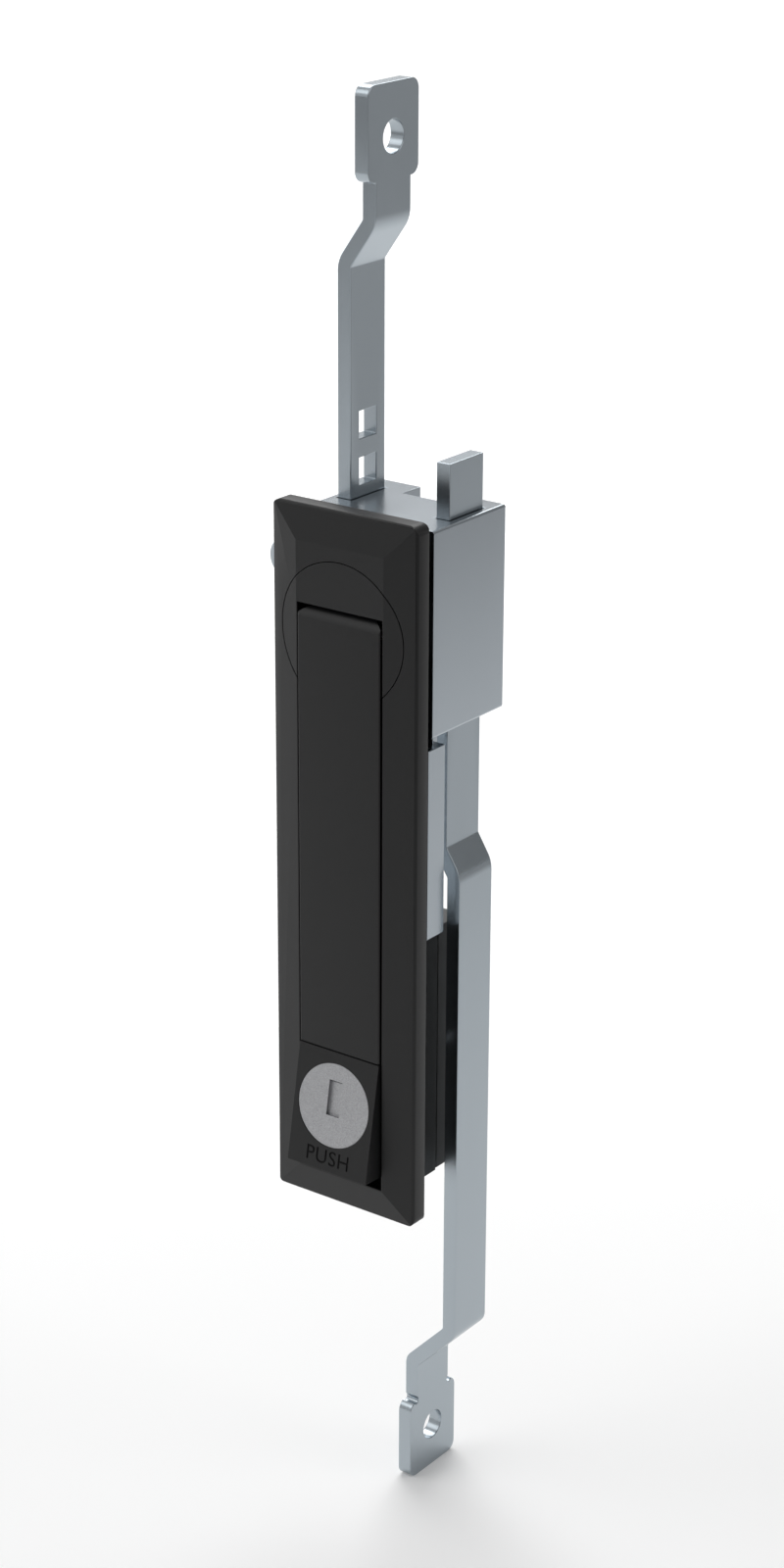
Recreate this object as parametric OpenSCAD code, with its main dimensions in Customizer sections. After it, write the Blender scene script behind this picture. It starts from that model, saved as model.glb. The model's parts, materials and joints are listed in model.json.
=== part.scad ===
// Multi-point rod control lock for a cabinet door.
// X points right and Z up as seen from outside, and Y points into the cabinet.
// The origin is the middle of the faceplate, on the face that seats on the door.

/* [Faceplate] */
// Width of the faceplate
plate_w = 44; // [42:0.5:50]
// Height of the faceplate
plate_h = 187; // [182:1:200]
// Thickness of the faceplate at its edge
plate_edge = 5; // [4.5:0.1:5.5]
// Thickness of the faceplate at its raised flat
plate_t = 7; // [6.5:0.1:7.5]
// Width of the bevelled border
bevel_w = 8.7; // [6:0.1:8.8]
// Corner radius of the faceplate
plate_corner_r = 2.6; // [1:0.1:3]
// Radius of the rounded rear edge
rear_round = 0.6; // [0.3:0.1:0.7]
// Width and depth of the small chamfer along the rim
rim_chamfer = 0.5; // [0.2:0.1:1]
// Width of the gasket cord
gasket_w = 1.7; // [1:0.1:1.8]
// Depth of the gasket groove
gasket_t = 1.2; // [0.8:0.1:2]
// Distance from the plate's rim to the gasket
gasket_inset = 0.9; // [0.8:0.1:1]

/* [Turret and hinge] */
// Height of the spindle above the middle of the faceplate
spindle_z = 62.7; // [61:0.1:63]
// Diameter of the turret's disc
turret_d = 36.8; // [36:0.1:37]
// Radial gap of the seam round the disc
turret_seam = 0.2; // [0.15:0.05:0.3]
// Depth of the disc's rear face in front of the seating face
turret_back = 1.2; // [1:0.1:1.6]
// Axial play between the disc and its seat
turret_play = 0.1; // [0.05:0.05:0.2]
// Diameter of the turret's hub
hub_d = 28.4; // [28:0.1:29]
// Radial clearance of running fits
running_fit = 0.05; // [0.02:0.01:0.08]
// Wall of the ring boss round the hub
ring_wall = 2.1; // [1.5:0.1:2.2]
// Length of the hub behind the mount plate
hub_tail = 2.5; // [2.3:0.1:3]
// Depth of the hinge axis in front of the seating face
hinge_depth = 3.2; // [3.1:0.05:3.3]
// Height of the hinge axis above the spindle
hinge_rise = 1.5; // [1.3:0.1:1.6]
// Diameter of the hinge pin
hinge_pin_d = 2.5; // [2:0.1:2.7]

/* [Handle] */
// Width of the handle
handle_w = 25.2; // [24:0.1:26]
// Height of the handle's lower edge
handle_low_z = -48.7; // [-50:0.1:-47]
// Height that the handle stands proud of the flat
handle_proud = 0.5; // [0.2:0.1:0.8]
// Depth from the flat to the handle's underside
handle_depth = 4; // [3.8:0.1:4.2]
// Sideways slope of the handle's flanks, in mm for each mm of depth
flank_slope = 1.6; // [1.6:0.01:1.7]
// Gap between handle and recess
handle_gap = 0.4; // [0.35:0.05:0.5]
// Gap below the handle's underside
handle_floor_gap = 0.5; // [0.4:0.1:0.7]
// Depth over which the recess's side walls drop straight
recess_wall = 1.2; // [0.2:0.1:1.6]
// Radius of the handle's rounded head
head_r = 4.55; // [4.4:0.05:4.6]
// Radius of the knuckle round the hinge pin
knuckle_r = 2.2; // [2:0.1:2.3]
// Width of the knuckle
knuckle_w = 18; // [16:0.5:19]
// Draft of the handle's lower end, in mm for each mm of depth
end_draft = 0.27; // [0.2:0.01:0.3]
// Depth of the keel's foot in front of the seating face
keel_depth = 0.6; // [0.5:0.1:0.8]
// Length of the keel at the handle's lower end
keel_l = 12; // [10:0.5:14]

/* [Push button] */
// Width of the push button
button_w = 25.3; // [24.5:0.1:25.4]
// Height of the button's lower edge
button_low_z = -80.5; // [-80.8:0.1:-80]
// Depth of the button's upper edge in front of the seating face
button_top_depth = 7.6; // [7.4:0.1:7.8]
// Depth of the button's lower edge in front of the seating face
button_low_depth = 13.2; // [13:0.1:13.5]
// Seam between handle and button
button_seam = 0.35; // [0.3:0.05:0.4]
// Gap between the button's sides and its recess
button_gap = 0.35; // [0.3:0.05:0.5]
// Wall of the button
button_wall = 2.3; // [2.2:0.05:2.5]
// Height of the recess's lower edge
recess_low_z = -84.4; // [-85:0.1:-84.2]
// Depth of the ledge under the button in front of the seating face
ledge_depth = 0.8; // [0.6:0.1:1]
// Depth of the button's pivot behind the seating face
pivot_depth = 8; // [7.8:0.1:8.2]
// Height of the button's pivot
pivot_z = -51.5; // [-51.7:0.1:-51.3]
// Diameter of the button's pivot pin
pivot_pin_d = 3; // [2.5:0.1:3.2]

/* [Key cylinder] */
// Height of the key face's middle
key_z = -62.9; // [-63.2:0.1:-62.6]
// Diameter of the key face
key_face_d = 22.2; // [21:0.1:22.4]
// Thickness of the key face
key_face_t = 1.7; // [1.5:0.1:1.8]
// Depth to which the key face is sunk
key_sunk = 0.1; // [0.05:0.05:0.2]
// Width of the key slot
slot_w = 4; // [2:0.1:4.2]
// Length of the key slot
slot_l = 9.4; // [8:0.1:11]
// Height of the key slot's middle above the face's middle
slot_rise = 1.9; // [0:0.1:2]
// Depth of the key slot
slot_depth = 0.9; // [0.5:0.1:1.1]
// Height of the deeper nick at the slot's upper end
nick_h = 0.5; // [0.3:0.1:0.8]
// Diameter of the cylinder's barrel
barrel_d = 19; // [18:0.1:19.2]
// Length of the barrel and plug behind the button's face
barrel_l = 22; // [20:0.5:22.5]
// Diameter of the key plug's stem
stem_d = 12; // [10:0.5:13]

/* [Gear case] */
// Outer width of the gear case
case_w = 39; // [38.6:0.1:39.4]
// Outer depth of the gear case
case_d = 30; // [30:0.1:31]
// Outer height of the gear case
case_h = 53; // [53:0.5:54]
// Wall of the gear case
case_wall = 2.2; // [2:0.1:2.3]
// Radius of the case's long folded edges
case_edge_r = 0.8; // [0.4:0.1:1.2]
// Width of the rectangular notch in the top rear edge
notch_w = 12.8; // [8:0.1:13]
// Depth of that notch in the top wall
notch_d = 7.5; // [4:0.1:8]
// Depth of that notch in the rear wall
notch_h = 4; // [3:0.1:4.2]
// Thickness of door sheet and packing between plate and case
grip = 5; // [4.9:0.1:5.1]
// Distance of the case's pillars from the spindle
pillar_reach = 19.7; // [19.6:0.1:19.8]
// Diameter of the case's pillars
pillar_d = 5.2; // [4.6:0.1:5.2]
// Diameter of the small screws
small_screw_d = 3; // [2.5:0.1:3]

/* [Drive] */
// Width across the spindle's flats
spindle_sq = 9; // [8:0.1:9.2]
// Diameter of the spindle's rear journal
journal_d = 10; // [9.6:0.1:10.2]
// Wall of the spindle's bush
bush_wall = 2; // [1.5:0.1:2.2]
// Distance from the spindle to the rods' middle planes
rod_reach = 15; // [15:0.02:15.1]
// Radius of the pinion's tips
tip_r = 16.7; // [16.4:0.1:16.8]
// Radius of the pinion's body
root_r = 12.4; // [12:0.1:12.6]
// Width of each tooth
tooth_w = 5.1; // [4.6:0.1:5.2]
// Height by which the rods' windows stand off the spindle at rest
mesh_offset = 1.84; // [1.7:0.02:1.9]

/* [Rods] */
// Thickness of the rods
rod_t = 4; // [3.6:0.1:4]
// Width of the rods
rod_w = 14; // [12:0.1:14.4]
// Depth of the rods' middle behind the seating face
rod_y = 21.8; // [21.6:0.1:22]
// Side of the square windows
window = 7; // [6.9:0.05:7.2]
// Gap round the rods in the case's slots
slot_gap = 0.4; // [0.25:0.05:0.4]
// Outer radius of the joggles' bends beside the case
bend_r = 8; // [3:0.1:9]
// Outer radius of the bends above the lower paddle
kick_r = 4.5; // [3:0.1:6]
// Inner radius of all bends
bend_in_r = 1; // [0.5:0.1:2]
// Width of the paddles
paddle_w = 20.3; // [18:0.1:22]
// Corner radius of the paddles
paddle_r = 2.8; // [2:0.1:4]
// Radius of the paddles' fixing holes
eye_r = 4.1; // [3:0.05:5]
// Radius of the relief notches at the lower paddle's neck
relief_r = 1; // [0.6:0.1:1.4]
// Height of the upper rod's free end
upper_end_z = 192; // [190:0.5:200]
// Height of the hole in the upper paddle
upper_eye_z = 179; // [178:0.1:180.5]
// Height of the upper paddle's neck
upper_neck_z = 168.8; // [168:0.1:170]
// Sideways set of the upper rod's joggle
upper_set = 7.6; // [4:0.1:9]
// Height of the lower end of the upper joggle
upper_joggle_z = 148.4; // [146:0.1:150]
// Height over which the upper joggle runs
upper_joggle_h = 10.7; // [9:0.1:11]
// Height of the upper rod's stub below the case
upper_stub_z = 21.6; // [21:0.1:25]
// Height of the lower rod's free end
lower_end_z = -181.7; // [-190:0.1:-180]
// Height of the hole in the lower paddle
lower_eye_z = -169.4; // [-170.5:0.1:-169]
// Height of the lower paddle's neck
lower_neck_z = -158.7; // [-159:0.1:-157]
// Outward set of the lower rod's upper joggle
lower_set_out = 4.3; // [4:0.1:6]
// Height of the upper end of that joggle
lower_joggle_z = 3.8; // [1:0.1:6]
// Height over which that joggle runs
lower_joggle_h = 6.9; // [6:0.1:9]
// Inward set of the lower rod's lower joggle
lower_set_in = 12; // [8:0.1:14]
// Height of the upper end of that joggle
lower_kick_z = -134.4; // [-136:0.1:-132]
// Height over which that joggle runs
lower_kick_h = 12.6; // [11:0.1:13]
// Height of the lower rod's stub above the case
lower_stub_z = 103.8; // [100:0.1:104.4]

/* [Cam] */
// Distance from the spindle to the cam's tip
cam_reach = 56; // [50:0.5:60]
// Thickness of the cam
cam_t = 3; // [2.5:0.1:3.5]
// Radius of the cam round the spindle
cam_hub_r = 10; // [9:0.1:10.5]
// Radius of the cam's tip
cam_tip_r = 5.6; // [5:0.1:7]
// Width across the spindle's flats in the cam
cam_sq = 7; // [6:0.1:7]
// Diameter of the cam's stop pins
stop_d = 4; // [3:0.1:4.2]
// Distance of the stop pins from the spindle, along the cam
stop_reach = 14; // [13.5:0.1:14.5]

/* [Clamp bracket] */
// Outer width of the clamp bracket
bracket_w = 36.6; // [36:0.1:38]
// Depth of the clamp bracket
bracket_d = 7.1; // [6.8:0.1:7.2]
// Height of the bracket's upper end
bracket_top_z = 33.3; // [31:0.1:34]
// Gap between the bracket's lower end and the deep housing
bracket_gap = 0.2; // [0.1:0.1:1]
// Wall of the bracket
bracket_wall = 2.2; // [2:0.1:2.4]
// Diameter of the bracket's screws
bracket_screw_d = 4; // [3:0.1:4]

/* [Lock housing] */
// Width of the casting behind the plate
housing_w = 27; // [26.6:0.1:27.4]
// Wall of the housing
housing_wall = 1.5; // [1.3:0.05:1.6]
// Height of the deep housing's upper end
housing_top_z = -17.5; // [-18:0.1:-17]
// Height of the deep housing's lower end
housing_low_z = -88; // [-89:0.1:-87]
// Depth of the deep housing
housing_d = 16.3; // [16.2:0.1:17]
// Width of the rear cover
cover_w = 26; // [23.6:0.1:26.4]
// Depth of the rear cover's back
cover_back = 28; // [27:0.1:30]
// Wall of the rear cover
cover_wall = 1.8; // [1.2:0.1:2]

/* [Hidden] */
eps = 0.01;
fine = 96;
medium = 48;

// Depths along Y of the main planes
edge_y = -plate_edge;
flat_y = -plate_t;
face_y = flat_y - handle_proud;
under_y = flat_y + handle_depth;
recess_y = under_y + handle_floor_gap;
recess_step_y = flat_y + recess_wall;
disc_back_y = -turret_back;
hinge_y = -hinge_depth;
hinge_z = spindle_z + hinge_rise;
front_y = -20;

// Turret, ring and hinge
turret_r = turret_d / 2;
hub_r = hub_d / 2;
ring_r = hub_r + running_fit + ring_wall;
pocket_r = head_r + 0.35;
recess_half = handle_w / 2 + handle_gap;
recess_top_z = hinge_z + pocket_r;
button_half = button_w / 2 + button_gap;
hinge_pin_l = 2 * turret_r - 1;
knuckle_gap = 0.4;
spring_pocket_w = 6.8;
spring_pocket_r = 2.9;
socket_y = 5.5;
hinge_spring_wire = 0.8;
hinge_spring_r = 1.75;
turret_clip_t = 1;
turret_groove = 1.3;
turret_clip_rise = 1.4;
turret_clip_opening = 6;

// Handle's lower end, its keel and the seam with the button
keel_y = -keel_depth;
button_top_z = handle_low_z - button_seam;
keel_top_z = handle_low_z + keel_l;

// Push button and key cylinder
tilt = atan((button_low_depth - button_top_depth) / (button_top_z - button_low_z));
key_y = -button_top_depth - (button_top_z - key_z) * tan(tilt);
button_back_y = -3.2;
button_heel_y = -5.2;
button_shoulder_y = -2.4;
window_half = housing_w / 2 - housing_wall;
window_top_z = handle_low_z + 1.7;
window_low_z = recess_low_z + 1.5;
lug_half = window_half - 0.3;
lug_t = 4;
lever_half = 3.4;
lever_gap = 0.3;
arm_y = 10.5;
arm_t = 3;
arm_top_z = -24;
spring_z = -28;
floor_y = 2;
tooth_y = [-4, -2.6];
tongue_t = 2;
stem_sq = 7;
clip_t = 1.2;
boss_l = 8;
tongue_screw_l = 7;
nick_depth = 1.3;

// Gear case, its plate and its pillars
case_back_y = grip + case_d;
case_cut_y = case_back_y - 2 * case_wall;
case_screw_l = 8;
case_low_z = spindle_z + 0.5 - case_h / 2;
case_top_z = case_low_z + case_h;
mount_t = case_wall;
mount_y = grip + mount_t;
clip_y = mount_y + 0.2;
hub_back_y = mount_y + hub_tail;
pillar_signs = [-1, 1];
csk_d = 1.6;

// Drive
bush_r = journal_d / 2 + running_fit + bush_wall;
teeth = 8;
idle_tooth = 5;
pitch = 2 * PI * rod_reach / teeth;
mesh_angle = mesh_offset / rod_reach * 180 / PI;
window_play = 0.4;
pinion_hub_r = 8;
pinion_hub_l = 3;
journal_y = case_back_y - 4;
bush_flange = 1;
cam_y = case_back_y + bush_flange + 0.3;
cam_back_y = cam_y + cam_t;
washer_t = 1.2;
washer_r = 8;
cam_screw_d = 4.9;
cam_screw_l = 10;
cam_head_r = 4.6;
cam_head_h = 3.5;
spindle_screw_d = 3.9;
spindle_screw_l = 8;
spindle_head_d = 7.8;
spindle_head_y = 1.75;
spindle_head_t = 2;

// Clamp bracket and the shallow box that it sits on
bracket_back_y = grip + bracket_d;
bracket_seat_y = bracket_back_y - bracket_wall;
bracket_low_z = housing_top_z + bracket_gap;
bracket_screw_inset = 11;
bracket_screw_tip = 1.4;
bracket_tab_half = 16;
bracket_tab_gap = 0.3;
bracket_screw_z = [bracket_top_z - bracket_screw_inset, bracket_low_z + bracket_screw_inset];
shallow_top_z = 36;
post_r = 4.5;

// Lock housing's posts and its rear cover
cover_screw_x = 7.6;
cover_screw_l = 7.5;
cover_screw_inset = [6, 5.5];
cover_seat_y = housing_d + 3;
cover_screw_z = [housing_top_z - cover_screw_inset[0], housing_low_z + cover_screw_inset[1]];
cover_top_z = housing_top_z - 1.5;
cover_low_z = housing_low_z;
cover_groove = 0.8;
cover_lip = 0.6;
cover_ends = [9, 11.5];

// Box between two corners
module block(low, high) {
    translate(low) cube(high - low);
}

// Cylinder along Y from y0 to y1
module rod_along_y(r, y0, y1, x = 0, z = 0, r2 = undef) {
    translate([x, y0, z])
        rotate([-90, 0, 0])
            cylinder(h = y1 - y0, r1 = r, r2 = is_undef(r2) ? r : r2, $fn = fine);
}

// Cylinder along X, centred on X = 0
module rod_along_x(r, l, y, z) {
    translate([0, y, z])
        rotate([0, 90, 0])
            cylinder(h = l, r = r, center = true, $fn = fine);
}

// Square bar along Y
module square_along_y(side, y0, y1, z = 0) {
    block([-side / 2, y0, z - side / 2], [side / 2, y1, z + side / 2]);
}

// Outline in X and Y, drawn out along Z
module along_z(z0, z1) {
    translate([0, 0, z0]) linear_extrude(z1 - z0) children();
}

// Outline in X and Z, drawn out along Y
module along_y(y0, y1) {
    translate([0, y1, 0]) rotate([90, 0, 0]) linear_extrude(y1 - y0) children();
}

// Outline in Y and Z, drawn out along X
module along_x(x0, x1) {
    translate([x0, 0, 0]) rotate([90, 0, 90]) linear_extrude(x1 - x0) children();
}

// Rectangle with rounded corners, centred
module rounded_rect(w, h, r) {
    square([w - 2 * r, h], center = true);
    square([w, h - 2 * r], center = true);
    for (x = [-1, 1], y = [-1, 1])
        translate([x * (w / 2 - r), y * (h / 2 - r)]) circle(r, $fn = medium);
}

// Frame on the button's sloping face, with Y pointing into the lock
module on_face() {
    translate([0, key_y, key_z]) rotate([-tilt, 0, 0]) children();
}

// Coil of round wire along Z, starting at the origin's height
module coil(r, wire, pitch, turns, sides = 8, steps = 20) {
    count = ceil(turns * steps);
    rings = [
        for (i = [0 : count])
            let (a = 360 * i / steps, z = pitch * i / steps)
                [for (k = [0 : sides - 1])
                    let (b = 360 * k / sides, d = r + wire / 2 * cos(b))
                        [d * cos(a), d * sin(a), z + wire / 2 * sin(b)]]
    ];
    points = [for (ring = rings) each ring];
    last = count * sides;
    walls = [
        for (i = [0 : count - 1], k = [0 : sides - 1])
            let (n = (k + 1) % sides)
                [i * sides + k, i * sides + n, (i + 1) * sides + n, (i + 1) * sides + k]
    ];
    near_end = [for (k = [sides - 1 : -1 : 0]) k];
    far_end = [for (k = [0 : sides - 1]) last + k];
    polyhedron(points, concat([near_end, far_end], walls), convexity = 8);
}

// Unit vector from a to b
function toward(a, b) = (b - a) / norm(b - a);

// Vector turned a quarter turn to the left
function left(v) = [-v[1], v[0]];

// Path with its inner corners rounded to the radii r
function rounded_path(p, r) = concat(
    [p[0]],
    [for (i = [1 : len(p) - 2]) each rounded_corner(p[i - 1], p[i], p[i + 1], r[i - 1])],
    [p[len(p) - 1]]
);

// Points of the arc that rounds the corner b between a and c
function rounded_corner(a, b, c, r) =
    let (
        n = ceil(2 + 0.75 * r),
        u = toward(a, b),
        v = toward(b, c),
        turn = acos(u * v),
        side = sign(u[0] * v[1] - u[1] * v[0]),
        start = b - u * r * tan(turn / 2),
        centre = start + left(u) * side * r
    )
        [for (k = [0 : n])
            let (a = side * turn * k / n, d = start - centre)
                centre + [d[0] * cos(a) - d[1] * sin(a), d[0] * sin(a) + d[1] * cos(a)]];

// Side of a strip of thickness t that follows path p
function strip_side(p, t) = [
    for (i = [0 : len(p) - 1])
        let (
            u = toward(p[max(i - 1, 0)], p[max(i, 1)]),
            v = toward(p[min(i, len(p) - 2)], p[min(i + 1, len(p) - 1)]),
            m = left(u) + left(v)
        )
            p[i] + m * t / (m * left(u)) / 2
];

// Whether path p turns left at its point i
function turns_left(p, i) =
    let (u = toward(p[i - 1], p[i]), v = toward(p[i], p[i + 1]))
        u[0] * v[1] > u[1] * v[0];

// Radii along one side of a strip that is bent to the outer radii r
function side_radii(p, r, on_left) = [
    for (i = [1 : len(p) - 2])
        turns_left(p, i) == on_left ? bend_in_r : r[i - 1]
];

// Outline of a strip of thickness t, bent to the outer radii r
function strip(p, t, r) =
    let (
        near = rounded_path(strip_side(p, t), side_radii(p, r, true)),
        far = rounded_path(strip_side(p, -t), side_radii(p, r, false))
    )
        concat(near, [for (i = [len(far) - 1 : -1 : 0]) far[i]]);

// Rounded rear corner of the faceplate's section with half-width w, from its rear to its side
function rear_corner(w) = [
    for (a = [90 : -22.5 : 0])
        [w - rear_round * (1 - cos(a)), -rear_round * (1 - sin(a))]
];

// Front of that section, from its side to the raised flat
function rim(w) = [
    [w, edge_y + rim_chamfer], [w - rim_chamfer, edge_y - 0.1], [w - bevel_w, flat_y]
];

// Points p in reverse order, on the other side
function mirrored(p) = [for (i = [len(p) - 1 : -1 : 0]) [-p[i][0], p[i][1]]];

// Half-width of handle and keel at depth y
function flank(y) = handle_w / 2 - flank_slope * (y - flat_y);

// Half-width of the recess at depth y
function recess_flank(y) = recess_half - flank_slope * (y - flat_y);

// Height of the handle's lower end at depth y
function handle_end_z(y) = handle_low_z + end_draft * (y - face_y);

// Bevelled slab of the faceplate, from its seat to its flat
module plate_slab() {
    w = plate_w / 2;
    h = plate_h / 2;
    intersection() {
        along_y(front_y, 0) rounded_rect(plate_w, plate_h, plate_corner_r);
        along_z(-h, h) polygon(
            concat(rear_corner(w), rim(w), mirrored(rim(w)), mirrored(rear_corner(w)))
        );
        along_x(-w, w) polygon([
            for (p = concat(rear_corner(h), rim(h), mirrored(rim(h)), mirrored(rear_corner(h))))
                [p[1], p[0]]
        ]);
    }
}

// Space that the handle needs in plate and turret
module handle_recess() {
    along_z(window_top_z - 3, hinge_z) polygon([
        [-recess_half, front_y], [recess_half, front_y], [recess_half, recess_step_y],
        [recess_flank(recess_y), recess_y], [-recess_flank(recess_y), recess_y],
        [-recess_half, recess_step_y]
    ]);
    along_z(window_top_z - 3, keel_top_z + 0.6) polygon([
        [-recess_flank(under_y), under_y], [recess_flank(under_y), under_y],
        [recess_flank(keel_y + handle_floor_gap), keel_y + handle_floor_gap],
        [-recess_flank(keel_y + handle_floor_gap), keel_y + handle_floor_gap]
    ]);
}

// Pocket for the handle's head, in the turret only
module head_pocket() {
    rod_along_x(pocket_r, 2 * recess_half, hinge_y, hinge_z);
    block([-recess_half, front_y, hinge_z], [recess_half, hinge_y, recess_top_z]);
    rod_along_x(knuckle_r + knuckle_gap, knuckle_w + 2 * knuckle_gap, hinge_y, hinge_z);
}

// Space round the push button, as far as the ledge
module button_recess() {
    top = button_top_z + button_seam / 2;
    along_x(-button_half, button_half) polygon([
        [front_y, top], [-button_top_depth, top],
        [button_back_y, top + end_draft * (button_back_y + button_top_depth) + button_seam / 2],
        [-ledge_depth, window_top_z], [-ledge_depth, recess_low_z], [front_y, recess_low_z]
    ]);
}

module faceplate_casting() {
    w = housing_w / 2;
    color("#303133") difference() {
        union() {
            plate_slab();
            rod_along_y(ring_r, -eps, grip, z = spindle_z);
            for (s = pillar_signs)
                rod_along_y(pillar_d, -eps, grip, z = spindle_z + s * pillar_reach);
            difference() {
                union() {
                    block([-w, -eps, housing_top_z], [w, bracket_seat_y - 0.5, shallow_top_z]);
                    block([-w, -eps, housing_low_z], [w, housing_d, housing_top_z]);
                }
                block(
                    [-window_half, floor_y, housing_top_z + 1],
                    [window_half, housing_d + 1, shallow_top_z - housing_wall]
                );
                block(
                    [-window_half, floor_y, housing_low_z + housing_wall],
                    [window_half, housing_d + 1, housing_top_z - housing_wall]
                );
            }
            for (z = bracket_screw_z)
                rod_along_y(post_r, 0, bracket_seat_y, z = z);
            for (x = [-1, 1]) {
                rod_along_y(3, 0, housing_d, x = x * cover_screw_x, z = cover_screw_z[0]);
                mirror([x < 0 ? 1 : 0, 0, 0]) block(
                    [cover_screw_x - 2.6, floor_y - eps, housing_low_z + eps],
                    [w - eps, housing_d, cover_screw_z[1] + 3]
                );
            }
            rod_along_y(1.8, 0, floor_y + 2, z = spring_z);
        }
        rod_along_y(turret_r + turret_seam, front_y, disc_back_y + turret_play, z = spindle_z);
        rod_along_y(hub_r + running_fit, front_y, grip + 1, z = spindle_z);
        handle_recess();
        button_recess();
        block([-window_half, front_y, window_low_z], [window_half, floor_y + eps, window_top_z]);
        gasket_shape();
        rod_along_x(pivot_pin_d / 2, housing_w + 1, pivot_depth, pivot_z);
        for (s = pillar_signs)
            rod_along_y(small_screw_d / 2, 0.4, grip + 1, z = spindle_z + s * pillar_reach);
        for (z = bracket_screw_z)
            rod_along_y(bracket_screw_d / 2, bracket_screw_tip - 0.4, bracket_seat_y + 1, z = z);
        for (x = [-cover_screw_x, cover_screw_x], z = cover_screw_z)
            rod_along_y(small_screw_d / 2, housing_d - cover_screw_l - 0.5, housing_d + 1, x = x, z = z);
    }
}

// Ring that the gasket fills
module gasket_shape() {
    outer_w = plate_w - 2 * gasket_inset;
    outer_h = plate_h - 2 * gasket_inset;
    along_y(-gasket_t, 0) difference() {
        rounded_rect(outer_w, outer_h, plate_corner_r);
        rounded_rect(outer_w - 2 * gasket_w, outer_h - 2 * gasket_w, plate_corner_r / 2);
    }
}

module panel_gasket() {
    color("#1b1b1c") gasket_shape();
}

module turret() {
    shank_r = spindle_screw_d / 2 + running_fit;
    color("#323335") difference() {
        union() {
            intersection() {
                plate_slab();
                rod_along_y(turret_r, front_y, disc_back_y, z = spindle_z);
            }
            rod_along_y(hub_r, disc_back_y - eps, hub_back_y, z = spindle_z);
        }
        handle_recess();
        head_pocket();
        rod_along_x(hinge_pin_d / 2, 2 * turret_r + 1, hinge_y, hinge_z);
        square_along_y(spindle_sq, socket_y, hub_back_y + 1, z = spindle_z);
        rod_along_y(shank_r, 0, socket_y + 1, z = spindle_z);
        rod_along_y(
            spindle_head_d / 2 + 0.1, spindle_head_y, spindle_head_y + spindle_head_t,
            z = spindle_z, r2 = shank_r
        );
        clip_ring(hub_r - turret_groove, hub_r + 1);
    }
}

// Ring behind the mount plate, between two radii
module clip_ring(inner, outer) {
    difference() {
        rod_along_y(outer, clip_y, clip_y + turret_clip_t, z = spindle_z);
        rod_along_y(inner, clip_y - 1, clip_y + turret_clip_t + 1, z = spindle_z);
    }
}

module turret_clip() {
    color("#3a3b3d") difference() {
        clip_ring(hub_r - turret_groove, hub_r + turret_clip_rise);
        block(
            [-turret_clip_opening / 2, 0, spindle_z - hub_r - 4],
            [turret_clip_opening / 2, hub_back_y, spindle_z - hub_r / 2]
        );
    }
}

module spindle() {
    color("#9aa0a6") difference() {
        union() {
            square_along_y(spindle_sq, socket_y, journal_y, z = spindle_z);
            rod_along_y(journal_d / 2, journal_y, cam_y, z = spindle_z);
            intersection() {
                square_along_y(cam_sq, cam_y, cam_back_y, z = spindle_z);
                rod_along_y(journal_d / 2, cam_y, cam_back_y, z = spindle_z);
            }
        }
        rod_along_y(
            spindle_screw_d / 2 + running_fit, socket_y - 1, socket_y + spindle_screw_l + 1,
            z = spindle_z
        );
        rod_along_y(
            cam_screw_d / 2 + running_fit, cam_back_y - cam_screw_l - 2, cam_back_y + 1,
            z = spindle_z
        );
    }
}

module spindle_screw() {
    color("#8f959b") difference() {
        union() {
            rod_along_y(
                spindle_head_d / 2, spindle_head_y + 0.05, spindle_head_y + spindle_head_t - 0.05,
                z = spindle_z, r2 = spindle_screw_d / 2
            );
            rod_along_y(
                spindle_screw_d / 2, spindle_head_y + 1, socket_y + spindle_screw_l,
                z = spindle_z
            );
        }
        translate([0, spindle_head_y - 0.05, spindle_z])
            rotate([-90, 0, 0]) cylinder(h = 1.3, r = 1.45, $fn = 6);
    }
}

module pinion() {
    y0 = rod_y - window / 2 + window_play;
    y1 = rod_y + window / 2 - window_play;
    half_pitch = 180 / teeth;
    color("#a3a6a8") difference() {
        translate([0, 0, spindle_z]) rotate([0, half_pitch - mesh_angle, 0]) {
            rod_along_y(root_r, y0, y1);
            rod_along_y(pinion_hub_r, y0 - pinion_hub_l, y1 + pinion_hub_l);
            intersection() {
                rod_along_y(tip_r, y0, y1);
                for (k = [0 : teeth - 1])
                    if (k != idle_tooth)
                        rotate([0, -half_pitch * (2 * k + 1), 0])
                            block([root_r - 2, y0, -tooth_w / 2], [tip_r + 1, y1, tooth_w / 2]);
            }
        }
        square_along_y(spindle_sq, y0 - pinion_hub_l - 1, y1 + pinion_hub_l + 1, z = spindle_z);
    }
}

module mount_plate() {
    inner_w = case_w - 2 * case_wall;
    color("#939aa0") difference() {
        block(
            [-inner_w / 2, grip, case_low_z + case_wall],
            [inner_w / 2, mount_y, case_top_z - case_wall]
        );
        rod_along_y(hub_r + running_fit, grip - 1, mount_y + 1, z = spindle_z);
        for (s = pillar_signs)
            rod_along_y(small_screw_d / 2, grip - 1, mount_y + 1, z = spindle_z + s * pillar_reach);
    }
}

module case_pillars() {
    color("#a9adb0") for (s = pillar_signs) {
        z = spindle_z + s * pillar_reach;
        difference() {
            union() {
                rod_along_y(pillar_d / 2, mount_y, case_back_y - case_wall, z = z);
                rod_along_y(small_screw_d / 2, 0.6, mount_y + eps, z = z);
            }
            rod_along_y(small_screw_d / 2, case_back_y - case_screw_l - 2, case_back_y, z = z);
        }
    }
}

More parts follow.
